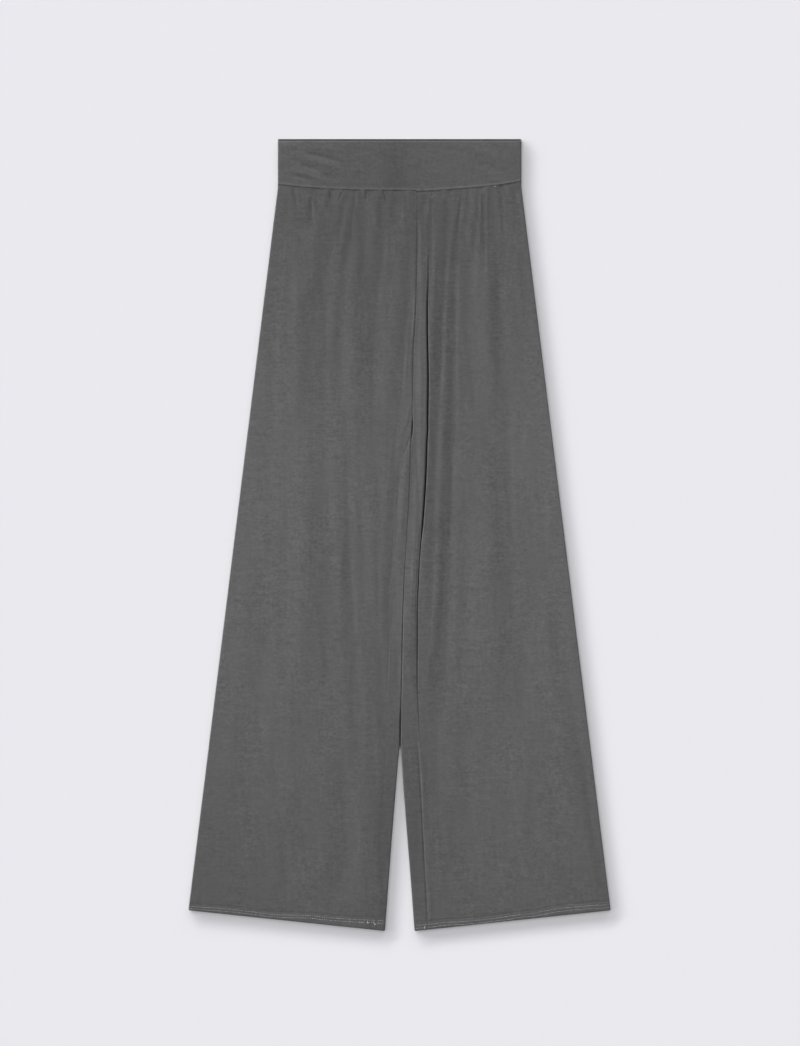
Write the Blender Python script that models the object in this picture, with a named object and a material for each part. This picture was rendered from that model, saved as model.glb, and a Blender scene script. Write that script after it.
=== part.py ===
"""Wide-leg joggers in fine jersey, laid out flat with the front up.

Metres, +Z up. The waist points to +Y and the hems to -Y, and the cloth rests on z = 0. Left and right are
the wearer's, so the left leg lies at +X. Each leg is a flattened tube of a front and a back panel. They
meet at the side seam, in the middle of the outer fold, and at the inseam, which leaves the inner fold at
the crotch and lies a little way in on the front below it. Above the crotch the fronts meet at the
centre-front seam and the backs lie the same way beneath them. Below the crotch the legs lie side by side,
then a slit apart, then spread. Each hem is turned up inside, and the waistband is one loop of doubled
jersey, folded at its top edge.
"""

import math
from collections import namedtuple
from functools import partial

import bmesh
import bpy
import numpy as np

# Cloth
CLOTH = 0.0010  # one ply
SEAM_GAP = 0.0003  # between pieces, and between the two plies of a hem or the band
PLY_STEP = CLOTH + SEAM_GAP
LAID_HEIGHT = 4 * PLY_STEP  # two plies of a front on two plies of a back, at a hem
FOLD_RADIUS = (LAID_HEIGHT - CLOTH) / 2  # of a side fold, to the middle of its cloth
FOLD_HALF = math.pi * FOLD_RADIUS / 2  # along the cloth, from a fold's top to its middle
FOLD_AXIS = LAID_HEIGHT / 2
FOLD_INSET = SEAM_GAP / 2 + CLOTH / 2 + FOLD_RADIUS  # from a leg's inner edge to its fold's axis

# Outline
LENGTH = 1.070
TOP = LENGTH / 2
BAND_SIDE_DEPTH = 0.066
WAIST_HALF = 0.165
SIDE_CORNER = TOP - BAND_SIDE_DEPTH
HEM_HALF = 0.2855
HEM_OUTER = -0.5068
HEM_INNER = -TOP
CROTCH = 0.155
CROTCH_EASE = 0.020  # height over which the cloth rolls down into the fork
SLIT_TOP = -0.228  # below it the legs lie a slit apart
SLIT_EASE = 0.020
SLIT_HALF = 0.0006
SPLIT = -0.283  # below it they spread
INNER_CORNER = {"left": 0.0198, "right": -0.0197}
FRONT_TOP_STEP = 0.0012  # the band's front edge lies this much lower than its back edge
HEM_TURN = 0.013
BAND_SEAM_MIDDLE = 0.4655
BAND_SEAM_RISE = {"left": 0.0125, "right": 0.0080}  # how much higher the band's seam is at the side
BAND_SEAM_BEND = 2.5  # the power by which it rises
SIDE = {"left": 1, "right": -1}

# Where the centre-front seam and, below the crotch, the meeting line of the legs run
Station = namedtuple("Station", "y x")
CENTRE_LINE = [
    Station(-0.536, 0.0000),
    Station(-0.300, 0.0000),
    Station(-0.256, 0.0006),
    Station(-0.229, 0.0014),
    Station(-0.175, 0.0028),
    Station(-0.121, 0.0037),
    Station(-0.067, 0.0051),
    Station(-0.013, 0.0080),
    Station(0.041, 0.0111),
    Station(0.095, 0.0142),
    Station(0.135, 0.0163),
    Station(0.176, 0.0170),
    Station(0.230, 0.0176),
    Station(0.257, 0.0184),
    Station(0.284, 0.0203),
    Station(0.311, 0.0217),
    Station(0.338, 0.0224),
    Station(0.392, 0.0230),
    Station(0.470, 0.0237),
]

# How far the inseam lies from the middle of the inner fold, along the cloth
Strip = namedtuple("Strip", "y width")
INSEAM_STRIP = {
    "left": [
        Strip(-0.536, 0.0185),
        Strip(-0.410, 0.0220),
        Strip(-0.290, 0.0235),
        Strip(-0.216, 0.0168),
        Strip(-0.111, 0.0156),
        Strip(-0.036, 0.0155),
        Strip(0.018, 0.0155),
        Strip(0.073, 0.0102),
        Strip(0.108, 0.0057),
        Strip(0.155, 0.0000),
        Strip(0.250, 0.0000),
    ],
    "right": [
        Strip(-0.536, 0.0135),
        Strip(-0.410, 0.0170),
        Strip(-0.290, 0.0180),
        Strip(-0.100, 0.0170),
        Strip(-0.010, 0.0192),
        Strip(0.060, 0.0155),
        Strip(0.108, 0.0082),
        Strip(0.155, 0.0000),
        Strip(0.250, 0.0000),
    ],
}

# The deep tuck in the left front: its line, and how deep it is from 0 to 1
Tuck = namedtuple("Tuck", "y x depth")
TUCK = [
    Tuck(-0.536, 0.0406, 0.0),
    Tuck(-0.360, 0.0326, 0.0),
    Tuck(-0.285, 0.0271, 0.0),
    Tuck(-0.250, 0.0253, 0.1),
    Tuck(-0.202, 0.0236, 0.5),
    Tuck(-0.120, 0.0232, 0.8),
    Tuck(-0.067, 0.0242, 1.0),
    Tuck(-0.013, 0.0272, 1.0),
    Tuck(0.041, 0.0325, 1.0),
    Tuck(0.095, 0.0353, 1.0),
    Tuck(0.203, 0.0379, 1.0),
    Tuck(0.284, 0.0369, 1.0),
    Tuck(0.345, 0.0380, 0.4),
    Tuck(0.390, 0.0388, 0.0),
    Tuck(0.470, 0.0396, 0.0),
]
TUCK_FLOOR = 0.0020  # height of its floor, to the middle of the cloth
TUCK_FLOOR_HALF = 0.0010
TUCK_LIP = 0.0026  # from its line to its lips
TUCK_SKIN = 0.7  # share of the cloth's thickness that goes sideways on its walls

# Folds: a row for each. Its line runs from the upper end by the middle to the lower end.
Fold = namedtuple("Fold", "x_top y_top x_mid x_low y_low width height")
FOLDS = {
    "left": [
        Fold(0.0285, 0.440, 0.0245, 0.0100, -0.290, 0.0065, 0.0016),
        Fold(0.0660, 0.480, 0.0550, 0.0450, 0.040, 0.0055, -0.0008),
        Fold(0.0670, 0.400, 0.0570, 0.0410, -0.190, 0.0075, 0.0012),
        Fold(0.0800, 0.480, 0.0695, 0.0500, -0.320, 0.0075, -0.0012),
        Fold(0.0950, 0.400, 0.0940, 0.0990, 0.155, 0.0080, -0.0009),
        Fold(0.0990, 0.480, 0.1050, 0.1070, 0.320, 0.0060, 0.0008),
        Fold(0.1180, 0.420, 0.1180, 0.1220, 0.150, 0.0100, 0.0012),
        Fold(0.1160, 0.180, 0.1200, 0.1280, -0.280, 0.0110, 0.0008),
        Fold(0.1230, 0.480, 0.1330, 0.1390, 0.190, 0.0080, -0.0010),
        Fold(0.1460, 0.230, 0.1460, 0.1500, -0.170, 0.0100, -0.0008),
        Fold(0.2060, -0.050, 0.2340, 0.2660, -0.430, 0.0080, -0.0007),
    ],
    "right": [
        Fold(0.0060, 0.470, -0.0075, -0.0210, 0.130, 0.0075, 0.0009),
        Fold(0.0100, 0.320, -0.0060, -0.0200, -0.220, 0.0055, -0.0008),
        Fold(-0.0230, 0.450, -0.0330, -0.0350, 0.150, 0.0080, -0.0011),
        Fold(-0.0620, 0.420, -0.0610, -0.0620, 0.080, 0.0080, 0.0011),
        Fold(-0.0720, 0.180, -0.0680, -0.0600, -0.320, 0.0065, -0.0009),
        Fold(-0.0930, 0.180, -0.0830, -0.0740, -0.290, 0.0075, 0.0009),
        Fold(-0.0980, 0.450, -0.1010, -0.0880, -0.280, 0.0100, -0.0008),
        Fold(-0.1140, 0.440, -0.1200, -0.1280, 0.300, 0.0090, 0.0009),
        Fold(-0.1380, 0.370, -0.1400, -0.1360, 0.140, 0.0120, 0.0008),
        Fold(-0.1300, 0.160, -0.1290, -0.1340, -0.220, 0.0120, 0.0008),
        Fold(-0.0470, -0.110, -0.0460, -0.0500, -0.510, 0.0080, 0.0008),
    ],
}
FOLD_EASE = 0.22  # share of a fold's length over which each end fades

# Mesh: rows from hem to band, and columns across each panel
FORK_REACH = 0.060  # below the crotch, where the inseam climbs on to the front
FORK_SPARE = 0.0007
Zone = namedtuple("Zone", "low rows")
ZONES = [
    Zone(HEM_INNER + HEM_TURN, 5),
    Zone(SPLIT, 7),
    Zone(CROTCH - FORK_REACH, 4),
    Zone(CROTCH, 2),
    Zone(CROTCH + CROTCH_EASE, 7),
    Zone(BAND_SEAM_MIDDLE, 0),
]
FOLD_STEPS = 3  # from a fold's top to its middle
SEAM_STEPS = 2  # steps of the front's edge round the inner fold, at the crotch
SEAM_STEP_FLAT = 0.0003  # between the same columns where the inseam lies on the front
INNER_COLUMNS = 2  # between the inseam and the tuck
FRONT_COLUMNS = {"left": 20, "right": 26}
COLUMN_SPREAD = 1.15  # columns lie closer at the centre than at the side by this power
BACK_COLUMNS = 4
STRIP_COLUMNS = 2
SETTLE_ROUNDS = 4  # a point's height depends on its distance out, and the other way round
BAND_COLUMNS = 12
TURN_STEPS = 4  # round a turned edge
BAND_ROWS = [0.0, 0.3, 0.65]  # shares of the band's depth, from its seam
MERGE = 1e-7
HEM_EASE = 0.060  # height over which the folds fade out above a hem
BAND_DIP = 0.0004  # how far the legs sink under the band's seam
BAND_DIP_REACH = 0.006

JERSEY_ROUGHNESS = 0.85
JERSEY = {
    "front": (0.112, 0.112, 0.113, 1.0),
    "back": (0.100, 0.100, 0.101, 1.0),
    "band": (0.118, 0.118, 0.119, 1.0),
}


def ease(t):
    """Goes smoothly from 0 to 1 as t does."""
    t = np.clip(t, 0.0, 1.0)
    return t * t * (3 - 2 * t)


def mix(a, b, t):
    return a + (b - a) * t


def smooth_line(stations, field, y):
    """A table's field at height y, on a smooth curve through its rows."""
    heights = np.array([row.y for row in stations])
    values = np.array([getattr(row, field) for row in stations])
    slopes = np.gradient(values, heights)
    y = np.clip(y, heights[0], heights[-1])
    after = np.clip(np.searchsorted(heights, y), 1, len(heights) - 1)
    before = after - 1
    span = heights[after] - heights[before]
    t = (y - heights[before]) / span
    start = values[before] * (1 + 2 * t) * (1 - t) ** 2 + slopes[before] * span * t * (1 - t) ** 2
    end = values[after] * t * t * (3 - 2 * t) - slopes[after] * span * t * t * (1 - t)
    return start + end


def outer_edge(y):
    """Half the garment's width at height y."""
    down = np.clip((SIDE_CORNER - y) / (SIDE_CORNER - HEM_OUTER), 0.0, None)
    return WAIST_HALF + (HEM_HALF - WAIST_HALF) * down


def inner_edge(leg, y):
    """The line where a leg meets its neighbour, and its own inner edge below the split."""
    slit = SIDE[leg] * SLIT_HALF * ease((SLIT_TOP - y) / SLIT_EASE)
    spread = INNER_CORNER[leg] * np.clip((SPLIT - y) / (SPLIT - HEM_INNER), 0.0, 1.0)
    return smooth_line(CENTRE_LINE, "x", y) + SIDE[leg] * np.maximum(SIDE[leg] * slit, SIDE[leg] * spread)


def band_seam(x):
    """Height of the waistband's seam at x."""
    across = np.minimum(np.abs(x) / WAIST_HALF, 1.0)
    rise = np.where(x > 0, BAND_SEAM_RISE["left"], BAND_SEAM_RISE["right"])
    return BAND_SEAM_MIDDLE + rise * across**BAND_SEAM_BEND


def fold_height(fold, x, y):
    """How far one fold lifts or sinks the cloth at (x, y)."""
    down = (fold.y_top - y) / (fold.y_top - fold.y_low)
    bow = 4 * down * (1 - down)
    line = mix(fold.x_top, fold.x_low, down) + bow * (fold.x_mid - (fold.x_top + fold.x_low) / 2)
    ends = ease(down / FOLD_EASE) * ease((1 - down) / FOLD_EASE)
    return fold.height * ends * np.exp(-(((x - line) / fold.width) ** 2))


def relief(leg, x, y, over_hem, under_band):
    """How far a leg's folds lift its front at (x, y)."""
    height = sum(fold_height(fold, x, y) for fold in FOLDS[leg])
    return height * ease(over_hem / HEM_EASE) - BAND_DIP * ease(1 - under_band / BAND_DIP_REACH)


def tucked(x, y, z, skin):
    """Sinks the left front's face into its deep tuck."""
    away = np.abs(x - smooth_line(TUCK, "x", y)) + TUCK_SKIN * skin
    wall = 1 - ease((away - TUCK_FLOOR_HALF) / (TUCK_LIP - TUCK_FLOOR_HALF))
    depth = np.clip(smooth_line(TUCK, "depth", y), 0, 1)
    return mix(z, np.minimum(z, TUCK_FLOOR + skin), wall * depth)


# In what follows, skin is how far a face lies out from the middle of its ply, and inset how far it lies in
# from the middle of the outer ply.


def turned_edge(skin):
    """Rows round a turned edge, inner ply first: (distance in from the edge, inset)."""
    turn = PLY_STEP / 2
    radius = turn + skin
    axis = CLOTH / 2 + turn
    angles = np.linspace(math.pi, 0, TURN_STEPS + 1)
    return [(axis - radius * math.sin(angle), turn - radius * math.cos(angle)) for angle in angles]


def leg_rows(skin):
    """For each row of a panel: (share of the way from hem to band, distance above that, inset)."""
    reach = BAND_SEAM_MIDDLE - HEM_INNER
    rows = [(0.0, HEM_TURN, PLY_STEP + skin)]
    rows += [(0.0, above, inset) for above, inset in turned_edge(skin)]
    for zone, above in zip(ZONES, ZONES[1:]):
        starts = np.linspace(zone.low, above.low, zone.rows + 1)[:-1]
        rows += [((y - HEM_INNER) / reach, 0.0, -skin) for y in starts]
    return np.array(rows + [(1.0, 0.0, -skin)])


def around_inner_fold(around, inset):
    """(distance out, height, lift) at a place round the inner fold: 0 at its top, 2 FOLD_HALF at its
    bottom."""
    radius = FOLD_RADIUS - inset
    angle = np.clip(around, 0, 2 * FOLD_HALF) / FOLD_RADIUS
    along = np.minimum(around, 0) - np.maximum(around - 2 * FOLD_HALF, 0)
    lift = np.clip(np.cos(angle), 0, 1)
    return FOLD_INSET - radius * np.sin(angle) - along, FOLD_AXIS + radius * np.cos(angle), lift


def around_side_fold(quarter, up, width, inset):
    """The same at the side fold, at shares of the way from its top (up is 1) or its bottom (-1) to the
    seam."""
    radius = FOLD_RADIUS - inset
    angle = quarter * (math.pi / 2 - SEAM_GAP / 2 / radius)
    axis = width - CLOTH / 2 - FOLD_RADIUS
    lift = np.clip(up * np.cos(angle), 0, 1)
    return axis + radius * np.sin(angle), FOLD_AXIS + up * radius * np.cos(angle), lift


def settle(leg, skin, columns, place):
    """Points of a panel's face. place gives each point's distance out, height and lift from how far up the
    garment it lies, which follows from the distance out, by the slant of the hem and the bow of the band."""
    share, above, inset = (np.repeat(leg_rows(skin)[:, [field]], columns, axis=1) for field in range(3))
    y = mix(HEM_INNER, BAND_SEAM_MIDDLE, share)
    for _ in range(SETTLE_ROUNDS):
        width = outer_edge(y) - SIDE[leg] * inner_edge(leg, y)
        out, z, lift = place(y, width, inset)
        x = inner_edge(leg, y) + SIDE[leg] * out
        hem = mix(HEM_INNER, HEM_OUTER, np.clip(out / width, 0, 1))
        top = band_seam(x) - SEAM_GAP / 2
        y = mix(hem, top, share) + above
    raised = z + relief(leg, x, y, y - hem, top - y) * lift
    if leg == "left":
        raised = mix(raised, tucked(x, y, raised, skin), lift)
    return np.stack([x, y, raised], axis=-1)


def inseam_gap(y):
    """The gap along the inseam: wider in the fork, where the seam turns over the fold."""
    return SEAM_GAP + FORK_SPARE * (1 - ease(np.abs(CROTCH - y) / FORK_REACH))


def graded(columns):
    """Shares of the way from the centre to the side, closer together at the centre."""
    return (np.arange(1, columns + 1) / columns) ** COLUMN_SPREAD


def front_columns(leg, skin):
    """For each column from the inseam to the side fold: (steps in from the inseam, share of the way on to
    the tuck, how far it lies from the tuck's line, share of the way on to the side)."""
    columns = [(step, 0, 0, 0) for step in range(SEAM_STEPS + 1)]
    lip, floor = TUCK_LIP - TUCK_SKIN * skin, TUCK_FLOOR_HALF - TUCK_SKIN * skin
    if leg == "left":
        columns += [(SEAM_STEPS, k / (INNER_COLUMNS + 1), lip, 0) for k in range(1, INNER_COLUMNS + 1)]
        columns += [(0, 1, beside, 0) for beside in (lip, floor, -floor, -lip)]
        columns += [(0, 1, -lip, share) for share in graded(FRONT_COLUMNS[leg])]
    else:
        columns += [(SEAM_STEPS, 0, 0, share) for share in graded(FRONT_COLUMNS[leg])]
    return np.array(columns).T


def front_face(leg, skin):
    """A front panel, from its inseam and centre-front seam out to its side seam."""
    steps, to_tuck, beside, to_side = front_columns(leg, skin)
    quarter = np.arange(1, FOLD_STEPS + 1) / FOLD_STEPS

    def place(y, width, inset):
        flat, side = np.s_[:, : len(steps)], np.s_[:, len(steps) :]
        centre = inner_edge(leg, y[flat])
        above_crotch = ease((y[flat] - CROTCH) / CROTCH_EASE)
        strip = smooth_line(INSEAM_STRIP[leg], "width", y[flat])
        end = mix(FOLD_HALF - strip, FOLD_INSET, above_crotch) - inseam_gap(y[flat]) / 2
        step = mix(FOLD_HALF / SEAM_STEPS, SEAM_STEP_FLAT, ease(strip / (2 * FOLD_HALF)))
        tuck = FOLD_INSET - smooth_line(TUCK, "x", y[flat]) + centre
        side_fold = 2 * FOLD_INSET - width[flat] - SEAM_GAP / 2
        around = mix(mix(end - steps * step, tuck + beside, to_tuck), side_fold, to_side)
        out, z, lift = around_inner_fold(around, inset[flat])
        out = mix(out, np.maximum(FOLD_INSET - around, SEAM_GAP / 2), above_crotch)
        z = mix(z, FOLD_AXIS + FOLD_RADIUS - inset[flat], above_crotch)
        lift = mix(lift, 1, above_crotch)
        fold = around_side_fold(quarter, 1, width[side], inset[side])
        return [np.concatenate(pair, axis=1) for pair in zip((out, z, lift), fold)]

    return settle(leg, skin, len(steps) + FOLD_STEPS, place)


def back_face(leg, skin):
    """A back panel: from its side seam, flat on the ground, round the inner fold to the inseam."""
    quarter = np.arange(FOLD_STEPS, 0, -1) / FOLD_STEPS
    flat_share = np.linspace(1, 0, BACK_COLUMNS + 1)
    fold_columns = 2 * FOLD_STEPS
    bent_columns = fold_columns + STRIP_COLUMNS
    fold_share = 1 - np.arange(1, fold_columns + 1) / fold_columns
    strip_share = np.arange(1, STRIP_COLUMNS + 1) / STRIP_COLUMNS
    least_share = np.arange(bent_columns)[::-1] / bent_columns

    def place(y, width, inset):
        side, rest = np.s_[:, :FOLD_STEPS], np.s_[:, FOLD_STEPS:]
        above_crotch = ease((y[rest] - CROTCH) / CROTCH_EASE)
        strip = smooth_line(INSEAM_STRIP[leg], "width", y[rest])
        end = mix(FOLD_HALF - strip, 2 * FOLD_HALF - FOLD_INSET, above_crotch) + inseam_gap(y[rest]) / 2
        reach = width[rest][:, : len(flat_share)] - 2 * FOLD_INSET + SEAM_GAP / 2
        flat = 2 * FOLD_HALF + flat_share * reach
        fold = 2 * FOLD_HALF * fold_share + 0 * end[:, :fold_columns]
        on_front = np.minimum(end[:, -STRIP_COLUMNS:], 0) * strip_share
        bent = np.concatenate([fold, on_front], axis=1)
        bent = np.maximum(bent, mix(end[:, -bent_columns:], 2 * FOLD_HALF, least_share))
        around = np.concatenate([flat, bent], axis=1)
        out, z, lift = around_inner_fold(around, inset[rest])
        out = mix(out, np.maximum(FOLD_INSET + around - 2 * FOLD_HALF, SEAM_GAP / 2), above_crotch)
        z = mix(z, FOLD_AXIS - FOLD_RADIUS + inset[rest], above_crotch)
        lift = mix(lift, 0, above_crotch)
        fold = around_side_fold(quarter, -1, width[side], inset[side])
        return [np.concatenate(pair, axis=1) for pair in zip(fold, (out, z, lift))]

    return settle(leg, skin, FOLD_STEPS + len(flat_share) + bent_columns, place)


def band_face(skin):
    """The waistband's loop, from the left side fold over the front to the right one and back beneath."""
    turns = np.linspace(0, math.pi, 2 * FOLD_STEPS + 1)
    fold_x = WAIST_HALF - CLOTH / 2 - FOLD_RADIUS
    flat_x = np.linspace(fold_x, -fold_x, BAND_COLUMNS + 1)[1:-1]
    rows = [(share, 0.0, -skin) for share in BAND_ROWS]
    rows += [(1.0, -down, inset) for down, inset in turned_edge(skin)[::-1]]
    rows += [(share, 0.0, PLY_STEP + skin) for share in BAND_ROWS[::-1]]
    points = []
    for share, beyond, inset in rows:
        radius = FOLD_RADIUS - inset
        bulge, height = radius * np.sin(turns), radius * np.cos(turns)
        x = np.concatenate([fold_x + bulge[::-1], flat_x, -fold_x - bulge, flat_x[::-1]])
        z = np.concatenate([-height, 0 * flat_x + radius, height, 0 * flat_x - radius])
        edge = TOP - FRONT_TOP_STEP * ease((1 + z / radius) / 2)
        y = mix(band_seam(x) + SEAM_GAP / 2, edge, share) + beyond
        points.append(np.stack([x, y, FOLD_AXIS + z], axis=-1))
    return np.array(points)


def cloth_object(name, face, colour, loop=False):
    """A closed wall of cloth between its outer and its inner face. face gives a face's rows of points."""
    outer, inner = face(CLOTH / 2), face(-CLOTH / 2)
    if loop:
        outer, inner = (np.concatenate([points, points[:, :1]], axis=1) for points in (outer, inner))
    rows, columns = outer.shape[:2]
    cloth = bmesh.new()
    row_of, column_of = (cloth.verts.layers.int.new(layer) for layer in ("row", "column"))
    bmesh.ops.create_grid(cloth, x_segments=columns - 1, y_segments=rows - 1, size=0.5)
    for vertex in cloth.verts:
        vertex[column_of] = round((vertex.co.x + 0.5) * (columns - 1))
        vertex[row_of] = round((vertex.co.y + 0.5) * (rows - 1))
        vertex.co = outer[vertex[row_of], vertex[column_of]]
    if loop:
        bmesh.ops.remove_doubles(cloth, verts=cloth.verts, dist=MERGE)
    doubled = bmesh.ops.extrude_face_region(cloth, geom=cloth.faces[:], use_keep_orig=True)["geom"]
    for vertex in doubled:
        if isinstance(vertex, bmesh.types.BMVert):
            vertex.co = inner[vertex[row_of], vertex[column_of]]
    bmesh.ops.recalc_face_normals(cloth, faces=cloth.faces)
    if cloth.calc_volume(signed=True) < 0:
        bmesh.ops.reverse_faces(cloth, faces=cloth.faces)
    mesh = bpy.data.meshes.new(name)
    cloth.to_mesh(mesh)
    cloth.free()
    mesh.shade_smooth()
    jersey = bpy.data.materials.new(f"jersey_{name}")
    jersey.use_nodes = True
    shader = jersey.node_tree.nodes["Principled BSDF"]
    shader.inputs["Base Color"].default_value = colour
    shader.inputs["Roughness"].default_value = JERSEY_ROUGHNESS
    mesh.materials.append(jersey)
    bpy.context.scene.collection.objects.link(bpy.data.objects.new(name, mesh))


def build():
    for item in list(bpy.data.objects):
        bpy.data.objects.remove(item)
    for leg in SIDE:
        cloth_object(f"front_{leg}", partial(front_face, leg), JERSEY["front"])
        cloth_object(f"back_{leg}", partial(back_face, leg), JERSEY["back"])
    cloth_object("waistband", band_face, JERSEY["band"], loop=True)


build()
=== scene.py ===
import math
from collections import namedtuple

import bmesh
import bpy
import numpy as np
from mathutils import Matrix, Vector


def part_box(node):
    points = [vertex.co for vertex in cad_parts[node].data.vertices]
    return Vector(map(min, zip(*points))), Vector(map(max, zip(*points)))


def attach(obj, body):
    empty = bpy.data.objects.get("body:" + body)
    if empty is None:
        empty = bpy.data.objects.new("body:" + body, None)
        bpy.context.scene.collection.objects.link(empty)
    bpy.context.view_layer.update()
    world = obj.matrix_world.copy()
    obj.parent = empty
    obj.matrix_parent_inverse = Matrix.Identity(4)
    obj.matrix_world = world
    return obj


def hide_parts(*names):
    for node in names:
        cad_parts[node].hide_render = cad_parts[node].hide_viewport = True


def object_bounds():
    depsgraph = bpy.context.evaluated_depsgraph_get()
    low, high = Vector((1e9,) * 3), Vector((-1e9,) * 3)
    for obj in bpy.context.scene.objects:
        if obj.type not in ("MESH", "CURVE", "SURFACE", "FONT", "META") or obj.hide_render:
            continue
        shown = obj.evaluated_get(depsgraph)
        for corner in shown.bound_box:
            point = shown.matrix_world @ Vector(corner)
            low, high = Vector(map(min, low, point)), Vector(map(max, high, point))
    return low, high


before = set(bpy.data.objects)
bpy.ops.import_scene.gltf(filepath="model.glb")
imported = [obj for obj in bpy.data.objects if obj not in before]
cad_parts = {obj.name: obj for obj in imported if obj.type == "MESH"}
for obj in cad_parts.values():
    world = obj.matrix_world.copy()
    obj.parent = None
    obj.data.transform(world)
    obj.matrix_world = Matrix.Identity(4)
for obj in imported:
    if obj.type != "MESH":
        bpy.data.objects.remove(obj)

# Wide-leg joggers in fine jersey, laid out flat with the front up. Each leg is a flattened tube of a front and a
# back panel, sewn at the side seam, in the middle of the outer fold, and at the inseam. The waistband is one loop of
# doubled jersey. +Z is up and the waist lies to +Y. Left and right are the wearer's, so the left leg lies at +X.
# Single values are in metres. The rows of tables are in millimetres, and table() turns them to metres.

cad_low, cad_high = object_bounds()


HUNDREDTHS_OF_MM = 100_000


def table(columns, rows, **parts):
    """A table with named columns. Its rows count thousandths, or other parts of one where parts names a column."""
    Row = namedtuple("Row", columns)
    scale = [parts.get(name, 1000) for name in Row._fields]
    return [Row(*(value / size for value, size in zip(row, scale))) for row in rows]


def by_leg(columns, left, right, **parts):
    """Such a table for each leg."""
    return {"left": table(columns, left, **parts), "right": table(columns, right, **parts)}


# Cloth
CLOTH = 0.0010
PLY_GAP = 0.0003
JOIN = 0.00006  # between pieces that are sewn together
PLY_STEP = CLOTH + PLY_GAP
LAID_HEIGHT = 4 * PLY_STEP
FOLD_RADIUS = (LAID_HEIGHT - CLOTH) / 2
FOLD_HALF = math.pi * FOLD_RADIUS / 2
FOLD_AXIS = LAID_HEIGHT / 2
FOLD_INSET = JOIN / 2 + CLOTH / 2 + FOLD_RADIUS
SQUARE_SIDE = 0.32  # below 1 a fold's section is squarer than round

# Outline
SIDE = {"left": 1, "right": -1}
TOP = cad_high.y
BAND_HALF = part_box("waistband")[1].x
WAIST_HALF = {"left": BAND_HALF - 0.0012, "right": BAND_HALF - 0.0002}
BAND_SIDE_DEPTH = 0.066
SIDE_CORNER = TOP - BAND_SIDE_DEPTH
HEM_INNER = cad_low.y + 0.0009
HEM_OUTER = -0.5060
HEM_HALF = {"left": cad_high.x - 0.0012, "right": cad_high.x + 0.0001}
HEM_TURN = 0.013
CROTCH = 0.155
CROTCH_EASE = 0.020
FRONT_TOP_STEP = 0.0030  # how far the band's front lies below its back at the top edge

# The dark slit where the legs meet, and the nick in it just below the crotch. The sides touch below SLIT_FLOOR.
SLIT_TOP = -0.228
SLIT_EASE = 0.020
SLIT_HALF = 0.0010
SLIT_FLOOR = 0.0013
SLIT_BANK = 0.0008
SLIT_REACH = 0.05
NICK = 0.1430
NICK_REACH = 0.011
NICK_HALF = 0.0011

# Below SPLIT the legs part: at once by MOUTH_HALF each, and then ever further down to the hems' inner corners
SPLIT = -0.284
MOUTH_HALF = 0.0007
MOUTH_EASE = 0.006
MOUTH_REACH = 0.070
INNER_CORNER = {"left": 0.0196, "right": 0.0204}
SPREAD_BEND = 0.93

# The waistband's seam rises from the middle to the sides, and steps down a little left of the centre-front seam
BAND_SEAM_MIDDLE = 0.4655
BAND_SEAM_RISE = {"left": 0.0125, "right": 0.0080}
BAND_SEAM_BEND = 2.5
BAND_JOG = 0.0014
BAND_JOG_FROM = 0.0195
BAND_JOG_WIDTH = 0.002
BAND_JOG_END = 0.055

# Where the centre-front seam and, below the crotch, the meeting line of the legs run
CENTRE_LINE = table("y x", [
    (-536, 0), (-300, 0), (-256, 0.6), (-229, 1.4), (-175, 2.8), (-121, 3.7), (-67, 5.6), (-13, 8.5), (14, 10.3),
    (41, 11.9), (95, 14), (124, 14.6), (139, 16.2), (176, 17), (230, 17.6), (257, 18.4), (284, 20.3), (311, 21.7),
    (338, 22.4), (392, 23), (470, 23.7),
])

# How square the inner folds' sections are: the smaller, the squarer
INNER_SQUARE = table("y power", [
    (-536, 0.34), (-300, 0.34), (-240, 0.36), (-90, 0.32), (-60, 0.24), (250, 0.24),
], power=1)

# How far the inseam lies from the middle of the inner fold, along the cloth
INSEAM_STRIP = by_leg("y width", left=[
    (-536, 18.5), (-410, 22), (-290, 23.5), (-216, 16.8), (-111, 15.6), (-36, 15.5), (18, 15.5), (73, 10.2),
    (108, 5.7), (155, 0), (250, 0),
], right=[
    (-536, 13.5), (-410, 17), (-290, 18), (-100, 17), (-10, 19.2), (60, 15.5), (108, 8.2), (155, 0), (250, 0),
])

# Grooves along a leg's inseam below the crotch
INSEAM_GROOVE = by_leg("y depth", left=[
    (-536, 0.24), (-340, 0.22), (-280, 0.08), (-220, 0), (250, 0),
], right=[
    (-536, 0), (-240, 0), (-190, -0.1), (-110, -0.08), (-70, 0), (250, 0),
])
FRONT_SEAM_GROOVE = 0.00030
SEAM_GROOVE_WIDTH = 0.0010
FAR = 1.0  # from the inseam, well out of its groove's reach

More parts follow.
